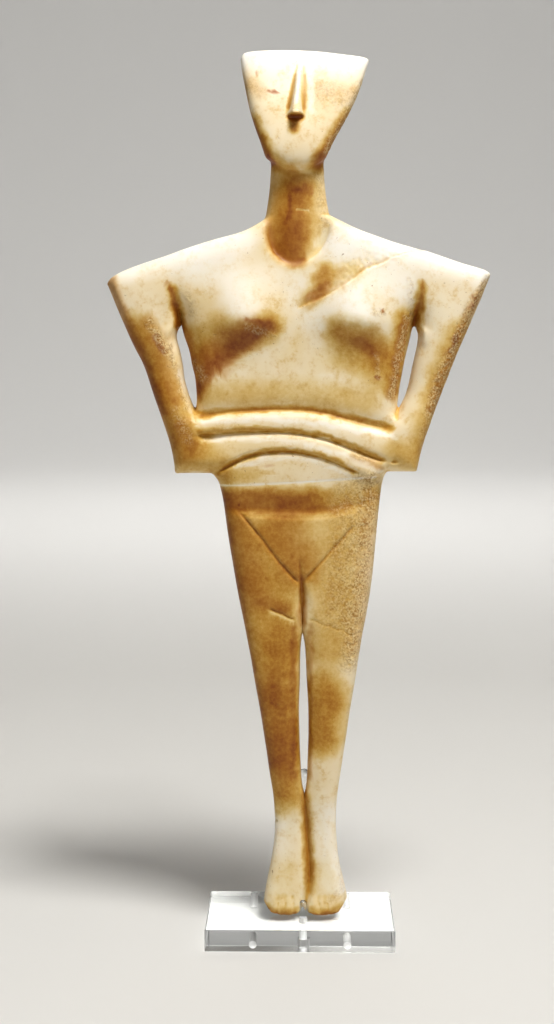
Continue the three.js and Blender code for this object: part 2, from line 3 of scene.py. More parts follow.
import bmesh
import bpy
import numpy as np
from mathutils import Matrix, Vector, noise


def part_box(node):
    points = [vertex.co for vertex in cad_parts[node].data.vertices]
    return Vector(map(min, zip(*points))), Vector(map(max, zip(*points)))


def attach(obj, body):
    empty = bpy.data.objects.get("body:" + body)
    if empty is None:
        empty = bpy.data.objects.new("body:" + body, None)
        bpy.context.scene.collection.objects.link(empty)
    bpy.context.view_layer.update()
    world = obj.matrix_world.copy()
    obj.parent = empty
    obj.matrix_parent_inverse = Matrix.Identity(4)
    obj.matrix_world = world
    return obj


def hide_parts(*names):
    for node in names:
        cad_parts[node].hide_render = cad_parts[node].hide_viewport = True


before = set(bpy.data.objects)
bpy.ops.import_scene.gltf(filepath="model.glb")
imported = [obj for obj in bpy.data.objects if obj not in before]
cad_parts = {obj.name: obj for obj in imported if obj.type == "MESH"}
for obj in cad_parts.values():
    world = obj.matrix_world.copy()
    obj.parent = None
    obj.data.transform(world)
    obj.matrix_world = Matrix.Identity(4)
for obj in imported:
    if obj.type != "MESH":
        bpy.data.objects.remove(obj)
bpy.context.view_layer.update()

mm = 0.001
scene = bpy.context.scene
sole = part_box("figurine")[0].z


# Shared helpers

def selectOnly(piece):
    if bpy.context.mode != "OBJECT":
        bpy.ops.object.mode_set(mode="OBJECT")
    bpy.ops.object.select_all(action="DESELECT")
    piece.select_set(True)
    bpy.context.view_layer.objects.active = piece


def applyModifier(piece, kind, **settings):
    modifier = piece.modifiers.new(kind.title(), kind)
    for name, value in settings.items():
        setattr(modifier, name, value)
    selectOnly(piece)
    bpy.ops.object.modifier_apply(modifier=modifier.name)


def applyPlace(piece):
    selectOnly(piece)
    bpy.ops.object.transform_apply(location=True, rotation=True, scale=True)


# Selects the faces, or the points, for which a test of their middle holds; the piece is in edit mode
def selectWhere(piece, test, kind="faces"):
    bpy.ops.mesh.select_all(action="DESELECT")
    bpy.ops.mesh.select_mode(type="FACE" if kind == "faces" else "VERT")
    shape = bmesh.from_edit_mesh(piece.data)
    for part in getattr(shape, kind):
        middle = part.calc_center_median() if kind == "faces" else part.co
        part.select_set(bool(test(middle)))
    shape.select_flush_mode()
    bmesh.update_edit_mesh(piece.data)


def finishPiece(piece, node, smoothAngle=None):
    selectOnly(piece)
    if smoothAngle is None:
        bpy.ops.object.shade_smooth()
    else:
        bpy.ops.object.shade_smooth_by_angle(angle=math.radians(smoothAngle))
    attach(piece, "root")
    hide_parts(node)
    print(piece.name, "has", sum(len(face.vertices) - 2 for face in piece.data.polygons), "triangles")


def toLinear(hexColour):
    channels = [int(hexColour[i:i + 2], 16) / 255 for i in (1, 3, 5)]
    return (*[c / 12.92 if c <= 0.04045 else ((c + 0.055) / 1.055) ** 2.4 for c in channels], 1)


# Adds a node; a value that is a socket is linked, and any other is set
def addNode(tree, kind, inputs=None, **settings):
    node = tree.nodes.new(kind)
    for name, value in settings.items():
        setattr(node, name, value)
    for name, value in (inputs or {}).items():
        if isinstance(value, bpy.types.NodeSocket):
            tree.links.new(value, node.inputs[name])
        else:
            node.inputs[name].default_value = value
    return node


def newMaterial(name):
    material = bpy.data.materials.new(name)
    material.use_nodes = True
    return material, material.node_tree, material.node_tree.nodes["Principled BSDF"]


# Camera: the photograph's own view, solved from the slab's corners

cameraView = {"place": (0.00312, -0.71612, 0.27881), "down": 6.721, "turn": 1.006, "lens": 56.8}


def makeCamera():
    bpy.ops.object.camera_add(location=cameraView["place"])
    camera = bpy.context.object
    camera.rotation_euler = (math.radians(90 - cameraView["down"]), 0, math.radians(cameraView["turn"]))
    camera.data.lens = cameraView["lens"]
    scene.camera = camera


makeCamera()


# Marble figure: strokes, stains and painted light are placed in millimetres, across from the middle of the
# shoulders and up from the sole

marble = {
    "crease": 0.8,  # of the carved edges
    "edgeAngle": 48,
    "voxel": 0.6,
    "smoothing": 5,
    "softening": 36,
    "triangles": 192000,
    "swell": 0.08,  # what smoothing takes off the outline
    "unevenness": 0.16,
    "unevenGrain": 14,
    "crustHeight": 0.35,
    "crustGrain": 1.5,
    "pitDepth": 0.25,
    "raggedness": 1.3,  # how far a stain's edge wanders
    "raggedGrain": 5,
    "creaseDepth": 0.35,  # a hollow this deep holds the most patina
}

# Edges that wear has rounded off: the rim round the neck, the chin, and the tops of the arm grooves
softened = [
    {"path": [(-14, 313), (-13.5, 304), (-9.5, 297), (-3, 293)], "width": 3},
    {"path": [(-3, 293), (3, 293.6), (8, 297), (12, 303), (13.5, 311)], "width": 2},
    {"path": [(-13, 338), (-6, 334.5), (0, 333), (6, 335), (11, 338)], "width": 2},
    {"path": [(-56.5, 290), (-54, 277)], "width": 3},
    {"path": [(55.5, 290), (53, 277)], "width": 3},
    {"path": [(-57, 267), (-54, 256)], "width": 3},
]

# Each stroke cuts in by its depth, or fills where the depth is below 0; a width of two values tapers
carving = [
    # Nose: its two sides and its foot
    {"path": [(-0.4, 379.5), (-2.6, 371.5), (-4, 365), (-5.2, 358)], "width": (0.4, 0.8), "depth": 0.4},
    {"path": [(1.8, 379), (2.8, 372), (3, 366), (2.4, 358)], "width": (0.4, 0.6), "depth": 0.35},
    {"path": [(-4.8, 355.8), (-1.3, 355.3), (2, 355.8)], "width": 1, "depth": 1},
    # Folded forearms, the edge between belly and abdomen, and the foot of the abdomen
    {"path": [(-43, 227.2), (-27, 229.2), (-11, 230), (6, 229.6), (24, 225.6), (34, 223.1), (41, 221.7)],
     "width": 1, "depth": 0.2},
    {"path": [(-42, 219.2), (-27, 220.7), (-10, 220.7), (6, 218.5), (16, 215.6), (24, 213), (38, 206.6)],
     "width": 1.6, "depth": -0.45},
    {"path": [(-32, 204), (-20, 210), (-5, 212), (12, 209), (24, 203)], "width": 1.5, "depth": -0.35},
    {"path": [(-36, 196.2), (-5, 197.7), (34, 200.2)], "width": 0.4, "depth": 0.15},
    {"path": [(-27, 184.2), (-24, 183.8), (-5, 182.9), (9, 183), (22, 185.3), (26, 186)],
     "width": 0.7, "depth": 0.2},
    # Pubic lines, and the cleft that widens downwards
    {"path": [(-26.5, 185.5), (-17, 174.9), (-9, 163.8), (0, 154)], "width": 0.5, "depth": 0.3},
    {"path": [(24.5, 179.5), (15, 168.3), (8, 160.3), (3, 155.5)], "width": 0.5, "depth": 0.35},
    {"path": [(0.6, 164), (1.1, 156), (1.7, 148), (2, 134)], "width": (0.3, 1.8), "depth": 0.45},
    # Toes, by the grooves between them
    *[{"path": [(x, 0.5), (x, 2.8), (0.93 * x + 0.2, 6.6)], "width": 0.5, "depth": 0.3}
      for x in (-12.8, -9.4, -5.8, -1.9, 6.3, 10.5, 14.3)],
    # Crack across the thighs
    {"path": [(-12.5, 142.2), (-9.5, 140.6), (-7, 139.9), (-4.5, 138.3), (-1.6, 137.2)],
     "width": 0.4, "depth": 0.6},
    {"path": [(4.3, 137.4), (8, 136.6), (11, 134.9), (14, 134.6), (17, 132.9), (20, 132.6), (23, 130.5),
              (29, 131)], "width": 0.3, "depth": 0.3},
    # Scratches on the neck and a nick at the ankle
    {"path": [(-1, 316.6), (4.5, 316)], "width": 0.4, "depth": 0.25},
    {"path": [(-12.5, 44.5), (-10.5, 43.4), (-9, 43)], "width": 0.6, "depth": 0.6},
]

# Where the stone stands further into a slot than the CAD part's facets do
slotWalls = [
    {"path": [(-55, 268), (-53, 259), (-50, 250)], "width": 4.5, "growth": 0.7},
    {"path": [(2, 138), (2.2, 100), (1.8, 58)], "width": 4.5, "growth": 0.75},
]

# The toes stand nearly square on the slab: the roll under them is filled out to this power of curve,
# and they come forward towards their tips
toes = {"y": -2.8, "z": 4.2, "depth": 4.7, "height": 4.2, "power": 6, "forward": 1.9, "top": 10}

# The old break on the chest: stone is lost above this line, down to a rough face
brokenChest = {
    "path": [(-2, 273.5), (9, 278), (17, 282.5), (24, 287), (29, 290.8), (36, 293.5), (44, 297), (56, 299.5)],
    "depth": 0.55,
    "reach": 15,  # how far above the line the face rises back to the skin
    "roughness": 0.22,
    "grain": 1.6,
}

# Stains, painted shade and painted highlights each follow a path with a half width; all of one kind make one
# mask
stainsAndPaintedLight = {
    "crust": [
        # Head and neck
        {"path": [(28.5, 371), (25, 362.5), (19.5, 352), (13.5, 342.5)], "width": 2.2, "amount": 0.9},
        {"path": [(8, 368), (16, 364.5), (24, 365)], "width": 5, "amount": 0.4},
        {"path": [(22, 358), (15, 347)], "width": 3, "amount": 0.4},
        {"path": [(-24, 370), (-17, 367)], "width": 3.4, "amount": 0.3},
        {"path": [(9, 331), (10.5, 318), (11, 309)], "width": 2.4, "amount": 0.4},
        # Right arm
        {"path": [(83, 287), (77, 278), (69, 260), (62, 243), (57, 229)], "width": 2.2, "amount": 1},
        {"path": [(64, 252), (60, 232), (55, 219)], "width": 3.6, "amount": 0.4},
        {"path": [(47.5, 271), (45.5, 260), (42.5, 247), (41, 236)], "width": 1.7, "amount": 0.9},
        {"path": [(48, 286), (49, 272)], "width": 1.2, "amount": 0.4},
        # Left arm
        {"path": [(-65, 268), (-61, 262), (-57, 254)], "width": 1.8, "amount": 0.9},
        {"path": [(-56, 258), (-53, 246), (-49, 232)], "width": 1.2, "amount": 0.7},
        {"path": [(-53, 230), (-50, 222), (-48, 217)], "width": 2.4, "amount": 0.45},
        {"path": [(-48, 281), (-46, 272)], "width": 1.6, "amount": 0.4},
        # Breasts and belly
        {"path": [(-22, 266.5), (-15, 264), (-10, 262.5)], "width": 1.5, "amount": 0.5},
        {"path": [(-45, 250), (-42, 244)], "width": 2, "amount": 0.5},
        {"path": [(33, 273), (37, 272)], "width": 1.3, "amount": 0.6},
        {"path": [(34, 254), (34.5, 245)], "width": 1, "amount": 0.5},
        {"path": [(24, 210.5), (31, 208)], "width": 1.4, "amount": 0.4},
        # Right thigh and foot
        {"path": [(31, 199), (32, 190), (30, 174), (28, 156), (26, 138), (23, 118)], "width": 4.6,
         "amount": 0.85},
        {"path": [(23, 193), (22, 176), (19, 156), (18, 140)], "width": 7.5, "amount": 0.5},
        {"path": [(16, 8), (20, 12), (21, 24)], "width": 2, "amount": 0.35},
    ],
    "brown": [
        # Head
        {"path": [(-26, 378), (-23.5, 366), (-20, 352)], "width": 1, "amount": 0.5},
        {"path": [(-20.5, 354), (-16.5, 345), (-12.5, 338)], "width": 2.2, "amount": 0.8},
        # The nose's broken foot is brown; below it is painted shadow, and along its two flanks painted shade
        {"path": [(-4.2, 356), (1.6, 356)], "width": 0.8, "amount": 0.8, "neat": True},
        {"path": [(-2.6, 354.6), (0.2, 354.6)], "width": 1.1, "amount": 0.6, "neat": True},
        {"path": [(-1.6, 354), (-2, 351)], "width": 1.4, "amount": 0.6, "neat": True},
        {"path": [(-1.4, 374), (-4.4, 360)], "width": 0.8, "amount": 0.4, "neat": True},
        {"path": [(2.5, 374), (2.3, 359)], "width": 0.6, "amount": 0.4, "neat": True},
        {"path": [(21, 355), (14, 344), (8.5, 336.5)], "width": 2.6, "amount": 0.6},
        {"path": [(-24, 371), (-16, 367)], "width": 3, "amount": 0.25},
        {"path": [(10, 368), (22, 366)], "width": 4, "amount": 0.2},
        # Neck
        {"path": [(-2, 328), (-2, 312), (-3, 300)], "width": 6, "amount": 0.35},
        {"path": [(-12, 335), (-11.5, 318), (-12, 306)], "width": 3, "amount": 0.3},
        # Painted shadow along the rim at the foot of the neck
        {"path": [(-13, 309), (-11, 301.5), (-6.5, 296), (-2.5, 294), (2, 295.5)], "width": 1.9,
         "amount": 0.5},
        # Chest
        {"path": [(4, 276.5), (9, 283), (11, 289)], "width": 3, "amount": 0.35},
        {"path": [(11, 282), (18, 288)], "width": 3, "amount": 0.25},
        # Under the right breast: brown patina with painted shadow
        {"path": [(20, 264), (27, 262), (34, 256)], "width": 5, "amount": 0.3},
        {"path": [(46, 268), (43, 250), (41, 236)], "width": 2.2, "amount": 0.6},
        {"path": [(-50.5, 268), (-46, 250), (-43, 236)], "width": 1.8, "amount": 0.6},
        # Arms
        # The left arm's outer edge: brown patina with painted shade
        {"path": [(-84, 289), (-77, 272), (-69, 254), (-60, 230)], "width": 2.8, "amount": 0.7},
        {"path": [(-66, 268), (-61, 258), (-54, 236)], "width": 4, "amount": 0.3},
        # The grooves between the arms and the chest: brown patina with painted shade
        {"path": [(-56.5, 286), (-54.5, 277), (-53, 270)], "width": 0.9, "amount": 0.7},
        {"path": [(-54, 275), (-51.8, 265)], "width": 1.6, "amount": 0.8},
        {"path": [(54.5, 286), (52.5, 276), (51.5, 270)], "width": 0.9, "amount": 0.6},
        {"path": [(52.5, 275), (51, 267)], "width": 1.6, "amount": 0.6},
        {"path": [(-57, 226), (-50, 212)], "width": 5, "amount": 0.2},
        {"path": [(83, 286), (77, 277), (69, 260), (58, 230)], "width": 2, "amount": 0.6},
        # Abdomen and the foot of the belly
        {"path": [(24, 209.5), (31, 207.5), (36, 205)], "width": 1.4, "amount": 0.4},
        {"path": [(-36, 190), (-16, 190.5), (2, 189)], "width": 4.2, "amount": 0.45},
        {"path": [(-30, 187), (-5, 186), (14, 186.6), (22, 188)], "width": 1.8, "amount": 0.25},
        # Painted shade on the left thigh and the pubis
        {"path": [(-28, 176), (-22, 150)], "width": 8, "amount": 0.35},
        {"path": [(-6, 178), (0, 162)], "width": 9, "amount": 0.3},
        # Painted shade on the lower neck
        {"path": [(-3, 308), (-4, 299)], "width": 6, "amount": 0.55},
        # Legs
        # The left leg's outer side: brown patina with painted shade
        {"path": [(-38, 198), (-33, 180), (-26, 140), (-19, 100), (-14, 70)], "width": 3, "amount": 0.45},
        {"path": [(33, 190), (30, 165), (26, 125)], "width": 4, "amount": 0.25},
        {"path": [(1.5, 156), (2, 135)], "width": 1.5, "amount": 0.6},
        {"path": [(-1.8, 134), (-2, 64)], "width": 1.4, "amount": 0.5},
        {"path": [(5.6, 134), (5.6, 64)], "width": 1.1, "amount": 0.4},
        {"path": [(3, 56), (4.7, 30), (5.5, 16)], "width": 1.6, "amount": 0.35},
        # Painted shadow above the crack across the thighs
        {"path": [(-18, 144.5), (-10, 143.5), (-5, 141)], "width": 2, "amount": 0.45},
        {"path": [(-12, 108), (-9, 86), (-7, 68)], "width": 6, "amount": 0.3},
        {"path": [(-15, 2.5), (-8, 0.8), (-1, 0.8)], "width": 1.2, "amount": 0.7},
        {"path": [(7, 0.8), (14, 0.8), (20, 2.5)], "width": 1.2, "amount": 0.7},
    ],
    "redBrown": [
        # Under the left breast: red-brown stain with painted shadow below the breast
        {"path": [(-13.5, 266), (-21, 261.5), (-30, 254.5), (-38, 248)], "width": 3, "amount": 0.6},
        {"path": [(-20, 264.5), (-30, 258), (-39, 251)], "width": 5.5, "amount": 0.4},
        {"path": [(-39, 248), (-43, 240)], "width": 3, "amount": 0.5},
        {"path": [(3, 277), (17, 283.5), (29, 291.5), (44, 297.6), (54, 299.5)], "width": 0.7,
         "amount": 0.12},
        {"path": [(-22.5, 269), (-18, 268.6), (-13, 267)], "width": 0.9, "amount": 0.6},
        {"path": [(-3.5, 326), (5.5, 325)], "width": 1.2, "amount": 0.4},
        {"path": [(-4, 322), (-3.5, 313)], "width": 1, "amount": 0.6},
        {"path": [(-12.5, 338.5), (-10.5, 336.5)], "width": 1, "amount": 0.7},
        {"path": [(-62, 262), (-59, 256)], "width": 1.3, "amount": 0.9},
        {"path": [(6, 279), (12, 284)], "width": 2, "amount": 0.3},
        {"path": [(26, 260), (32, 255)], "width": 2.4, "amount": 0.3},
        {"path": [(77, 279), (75, 275)], "width": 1.2, "amount": 0.9},
        {"path": [(69, 261), (67, 256)], "width": 1.2, "amount": 0.9},
        {"path": [(-13, 367), (-10.4, 366.8)], "width": 0.5, "amount": 0.9, "neat": True},
        {"path": [(-18.4, 375.7), (-18.1, 375.6)], "width": 0.4, "amount": 0.5, "neat": True},
        {"path": [(34, 245), (33.6, 244.6)], "width": 0.7, "amount": 1},
        {"path": [(36, 273), (36.6, 272.6)], "width": 0.6, "amount": 0.9},
        {"path": [(-13.8, 205.4), (-13.2, 205.6)], "width": 0.5, "amount": 0.8, "neat": True},
        {"path": [(-26, 188.5), (-25.8, 188.4)], "width": 0.5, "amount": 0.8, "neat": True},
    ],
    "honey": [
        {"path": [(-2, 326), (-3, 302)], "width": 8, "amount": 0.75},
        {"path": [(-30, 182), (-24, 150), (-17, 110), (-12, 80), (-8, 58)], "width": 10, "amount": 0.7},
        {"path": [(-12, 178), (-9, 150), (-7, 124)], "width": 7, "amount": 0.7},
        {"path": [(-8, 128), (-7, 100), (-6, 74)], "width": 7, "amount": 0.95},
        {"path": [(20, 182), (17, 150), (14, 124)], "width": 9, "amount": 0.45},
        {"path": [(12, 104), (10, 84)], "width": 8, "amount": 0.95},
        {"path": [(-2, 178), (0, 158)], "width": 9, "amount": 0.5},
        {"path": [(-36, 190), (8, 190)], "width": 5, "amount": 0.95},
        {"path": [(8, 190), (34, 192)], "width": 5, "amount": 0.45},
        # Under both breasts: honey patina with painted shadow below them
        {"path": [(-42, 250), (-26, 260), (-13, 266.5)], "width": 5.5, "amount": 0.7},
        {"path": [(-44, 254), (-32, 264)], "width": 7, "amount": 0.45},
        {"path": [(19, 264), (27, 262), (36, 254)], "width": 6, "amount": 0.65},
        {"path": [(22, 257), (36, 249)], "width": 8, "amount": 0.4},
        {"path": [(-46, 262), (-42, 240)], "width": 4, "amount": 0.4},
        {"path": [(46, 270), (41, 240)], "width": 4, "amount": 0.6},
        {"path": [(5, 278), (9, 284), (12, 290)], "width": 4, "amount": 0.45},
        {"path": [(14, 285), (24, 290)], "width": 4, "amount": 0.25},
        {"path": [(-71, 263), (-64, 246), (-56, 226), (-50, 212)], "width": 7.5, "amount": 0.8},
        # The grooves between the arms and the chest: honey patina with painted shade
        {"path": [(-55, 282), (-51.5, 266)], "width": 2.2, "amount": 0.6},
        {"path": [(53.5, 284), (51, 266)], "width": 2.2, "amount": 0.6},
        {"path": [(70, 262), (62, 238), (56, 216)], "width": 6, "amount": 0.5},
        {"path": [(-44, 213), (-34, 204)], "width": 6, "amount": 0.45},
        {"path": [(44, 212), (52, 208)], "width": 5, "amount": 0.35},
        # Each fold darkens towards the valley below it: patina, with painted shade where the fold turns away
        # from the light
        {"path": [(-43, 228), (-27, 230), (-10, 230.8), (6, 230.4), (24, 226.4), (41, 222.5)], "width": 1.3,
         "amount": 0.55},
        {"path": [(-42, 236), (-10, 238), (30, 234)], "width": 5, "amount": 0.25},
        {"path": [(-43, 220.4), (-10, 221.8), (10, 219), (24, 214.4), (36, 208.4)], "width": 1.2,
         "amount": 0.55},
        {"path": [(-36, 202.6), (-20, 210.4), (-5, 212.8), (12, 209.8), (24, 203.8)], "width": 1.1,
         "amount": 0.5},
        {"path": [(-30, 200), (-20, 202)], "width": 3, "amount": 0.3},
        # Head
        {"path": [(-20.5, 355), (-15, 343), (-9, 336)], "width": 3, "amount": 0.6},
        {"path": [(21, 356), (15, 345), (8, 335.5)], "width": 3.4, "amount": 0.6},
        # The nose's brown foot, then painted shadow below it
        {"path": [(-3.4, 355.4), (0.8, 355.4)], "width": 1.5, "amount": 0.8, "neat": True},
        {"path": [(-1.8, 354), (-2, 350.5)], "width": 2, "amount": 0.7, "neat": True},
        # Feet
        {"path": [(-6, 20), (-6, 4)], "width": 6, "amount": 0.15},
        {"path": [(12, 20), (12, 4)], "width": 6, "amount": 0.12},
        {"path": [(3.5, 54), (4.7, 30), (5.5, 12)], "width": 2.4, "amount": 0.4},
        {"path": [(-15, 3.2), (-8, 2), (-1, 2)], "width": 2, "amount": 0.5},
        {"path": [(7, 2), (14, 2), (20, 3.5)], "width": 2, "amount": 0.5},
    ],
    "pale": [
        # Painted highlights: the top of the head, which faces the light, the upper face, the strip beside the
        # nose and the nose ridge
        {"path": [(-26, 384), (0, 385), (30, 383)], "width": 8, "amount": 1},
        {"path": [(-10, 372), (10, 372)], "width": 7, "amount": 0.4},
        {"path": [(5.2, 376), (5.4, 358)], "width": 1.4, "amount": 0.7},
        {"path": [(-0.3, 376), (-0.8, 366), (-1.6, 361)], "width": 0.8, "amount": 0.6, "neat": True},
        # Lighter stone: a chip at the chin and a scratch on the neck
        {"path": [(-1, 334.5), (5, 333)], "width": 1.2, "amount": 0.6},
        {"path": [(-1, 316.8), (4.5, 316.3)], "width": 0.5, "amount": 0.8, "neat": True},
        # Painted highlight on the lit facet at the right of the neck's rim
        {"path": [(5, 296.5), (9, 301), (11.5, 307)], "width": 1.8, "amount": 0.6},
        # Painted highlights on the shoulders, the breast tops, the chest and the inner edge of the left arm
        {"path": [(-76, 291), (-44, 299), (-24, 303)], "width": 6, "amount": 0.8},
        {"path": [(-44, 294), (-30, 288), (-24, 278)], "width": 9, "amount": 0.8},
        {"path": [(-14, 290), (0, 284), (8, 272)], "width": 7, "amount": 0.5},
        {"path": [(18, 302), (34, 302), (62, 297), (80, 291)], "width": 8, "amount": 1},
        {"path": [(22, 282), (25, 273)], "width": 8, "amount": 0.9},
        {"path": [(36, 288), (46, 284)], "width": 7, "amount": 0.7},
        {"path": [(-52, 247), (-48, 231), (-44.5, 223)], "width": 0.9, "amount": 0.5},
        # Painted highlights on the tops of the folds, the lip above the abdomen and the lower lip of the
        # crack
        {"path": [(-42, 224.8), (-10, 226.2), (24, 221.8), (42, 218.6)], "width": 1.2, "amount": 0.7},
        {"path": [(-42, 216.8), (-10, 217.4), (16, 212), (36, 203.5)], "width": 1.2, "amount": 0.6},
        {"path": [(-28, 205), (-14, 208.4), (-3, 209), (10, 206.6), (22, 201.5)], "width": 0.9,
         "amount": 0.6},
        {"path": [(-36, 196.6), (-5, 198), (34, 200.6)], "width": 0.5, "amount": 1, "neat": True},
        {"path": [(-13, 141), (-6, 138), (-2, 136.2)], "width": 0.7, "amount": 0.7, "neat": True},
        # Painted highlights on the tops of the feet, then a lighter patch on the right foot
        {"path": [(-8, 44), (-9, 14)], "width": 5, "amount": 0.4},
        {"path": [(14, 46), (15, 14)], "width": 5, "amount": 0.6},
        {"path": [(18, 26), (21, 12)], "width": 2.6, "amount": 0.7},
    ],
}

# The back isn't in view, so it has only a cloudy patina
hiddenSides = {"honey": 0.4, "clouds": 0.45, "brown": 0.2, "grain": 42}


def bend(t, a, b, c, d):
    square, cube = 2 * a - 5 * b + 4 * c - d, 3 * b - a - 3 * c + d
    return 0.5 * (2 * b + (c - a) * t + square * t * t + cube * t ** 3)


# A path bent smoothly through its points
def smoothPath(points, steps=6):
    ends = [points[0], *points, points[-1]]
    path = []
    for corners in zip(ends, ends[1:], ends[2:], ends[3:]):
        for step in range(steps):
            path.append(tuple(bend(step / steps, *values) for values in zip(*corners)))
    return [*path, points[-1]]


def ease(start, end, values):
    t = np.clip((values - start) / (end - start), 0, 1)
    return t * t * (3 - 2 * t)


# How far each place is from a path, and its share of the way along it
def alongPath(places, path, reach):
    path = np.array(path)
    distance = np.full(len(places), 1e9)
    share = np.zeros(len(places))
    near = np.flatnonzero(np.all((places > path.min(0) - reach) & (places < path.max(0) + reach), axis=1))
    close = places[near]
    steps = np.hypot(*(path[1:] - path[:-1]).T)
    travelled = 0
    for start, end, length in zip(path, path[1:], steps):
        way = (end - start) / length
        along = np.clip((close - start) @ way, 0, length)
        gap = np.hypot(*(close - start - along[:, None] * way).T)
        nearer = gap < distance[near]
        distance[near[nearer]] = gap[nearer]
        share[near[nearer]] = (travelled + along[nearer]) / steps.sum()
        travelled += length
    return distance, share


def grain(points, size, seed=0):
    offset = 31.7 * seed
    return np.array([noise.noise((x + offset, y, z)) for x, y, z in points / size])


def readPoints(piece):
    count = len(piece.data.vertices)
    points = np.empty(count * 3)
    normals = np.empty(count * 3)
    piece.data.vertices.foreach_get("co", points)
    piece.data.vertex_normals.foreach_get("vector", normals)
    points = points.reshape(-1, 3)
    points[:, 2] -= sole
    return points / mm, normals.reshape(-1, 3)


def writePoints(piece, points):
    placed = points * mm
    placed[:, 2] += sole
    piece.data.vertices.foreach_set("co", placed.ravel())
    piece.data.update()


# One mask for each kind of stain and painted light, with ragged edges
def stainAndLightMasks(points, normals):
    front = ease(0.45, -0.1, normals[:, 1])
    wander = marble["raggedness"] * np.column_stack([
        grain(points, marble["raggedGrain"], 1) + 0.5 * grain(points, marble["raggedGrain"] / 3, 3),
        grain(points, marble["raggedGrain"], 2) + 0.5 * grain(points, marble["raggedGrain"] / 3, 4)])
    places = points[:, [0, 2]]
    masks = {}
    for kind, marks in stainsAndPaintedLight.items():
        clean = np.ones(len(points))
        for mark in marks:
            wandered = places if mark.get("neat") else places + wander
            distance, _ = alongPath(wandered, smoothPath(mark["path"]), 2 * mark["width"])
            inner, outer = 0.25 * mark["width"], 1.7 * mark["width"]
            clean *= 1 - mark["amount"] * (1 - ease(inner, outer, distance))
        masks[kind] = (1 - clean) * front
    cloud = grain(points, hiddenSides["grain"], 11) + 0.5 * grain(points, hiddenSides["grain"] / 4, 12)
    masks["honey"] += (1 - front) * np.clip(hiddenSides["honey"] + hiddenSides["clouds"] * cloud, 0, 1)
    masks["brown"] += (1 - front) * hiddenSides["brown"] * ease(0.05, 0.5, cloud)
    return masks


# Rounds off the worn edges further than the rest
def soften(piece):
    points, normals = readPoints(piece)
    weights = np.zeros(len(points))
    for mark in softened:
        distance, _ = alongPath(points[:, [0, 2]], smoothPath(mark["path"]), 2 * mark["width"])
        weights = np.maximum(weights, 1 - ease(0.6 * mark["width"], 1.7 * mark["width"], distance))
    weights *= ease(0.3, 0, normals[:, 1])
    group = piece.vertex_groups.new(name="worn_edges")
    steps = 8
    for step in range(1, steps + 1):
        chosen = np.flatnonzero(np.ceil(weights * steps) == step)
        group.add(chosen.tolist(), step / steps, "REPLACE")
    applyModifier(piece, "SMOOTH", factor=0.5, iterations=marble["softening"], vertex_group=group.name)
    piece.vertex_groups.clear()


def fillToes(piece):
    points, _ = readPoints(piece)
    across = (toes["y"] - points[:, 1]) / toes["depth"]
    down = (toes["z"] - points[:, 2]) / toes["height"]
    rolled = np.flatnonzero((across > 0) & (down > 0))
    across, down, power = across[rolled], down[rolled], toes["power"]
    ratio = np.hypot(across, down) / (across ** power + down ** power) ** (1 / power)
    for axis, middle in ((1, toes["y"]), (2, toes["z"])):
        points[rolled, axis] = middle + (points[rolled, axis] - middle) * ratio
    fore = ease(toes["y"], toes["y"] - 3, points[:, 1]) * ease(toes["top"], 0, points[:, 2])
    points[:, 1] -= toes["forward"] * fore
    writePoints(piece, points)


def narrowSlots(points, normals):
    growth = np.zeros(len(points))
    for wall in slotWalls:
        distance, _ = alongPath(points[:, [0, 2]], smoothPath(wall["path"]), 2 * wall["width"])
        growth += wall["growth"] * (1 - ease(0.25 * wall["width"], 1.7 * wall["width"], distance))
    return growth * ease(0.35, 0.75, np.abs(normals[:, 0]))


def carve(points, normals):
    depth = np.zeros(len(points))
    front = ease(0.3, -0.2, normals[:, 1])
    places = points[:, [0, 2]]
    for stroke in carving:
        widths = stroke["width"] if isinstance(stroke["width"], tuple) else (stroke["width"],) * 2
        distance, share = alongPath(places, smoothPath(stroke["path"]), 4 * max(widths))
        width = np.interp(share, [0, 1], widths)
        ends = ease(0, 0.08, share) * ease(1, 0.92, share)
        depth += stroke["depth"] * np.exp(-(distance / width) ** 2) * (0.15 + 0.85 * ends)
    return (depth + lostStone(points)) * front


# The broken face on the chest: a sharp step down at the line that fades upwards
def lostStone(points):
    path = smoothPath(brokenChest["path"])
    near = np.flatnonzero(points[:, 2] > path[0][1] - 1)
    depth = np.zeros(len(points))
    jitter = 0.5 * grain(points[near], 2.5, 9)
    line = np.interp(points[near, 0], *zip(*path))
    above = points[near, 2] - line + jitter
    across = points[near, 0]
    inside = ease(path[0][0], path[0][0] + 3, across) * ease(path[-1][0], path[-1][0] - 3, across)
    reach = brokenChest["reach"] * ease(path[0][0] - 2, path[0][0] + 16, across)
    face = ease(-0.3, 0.5, above) * np.clip(1 - above / np.maximum(reach, 0.1), 0, 1) * inside
    rough = brokenChest["roughness"] * grain(points[near], brokenChest["grain"], 10) * np.sqrt(face)
    depth[near] = brokenChest["depth"] * face + rough
    return depth


def weather(points, crust):
    height = marble["unevenness"] * grain(points, marble["unevenGrain"], 5)
    rough = np.flatnonzero(crust > 0.02)
    size, places = marble["crustGrain"], points[rough]
    lumps = grain(places, size, 6) + 0.5 * grain(places, size / 2, 7)
    pits = np.minimum(0, grain(places, 1.7 * size, 8) + 0.15)
    height[rough] += crust[rough] * (marble["crustHeight"] * lumps * 0.6 + 2 * marble["pitDepth"] * pits)
    return height


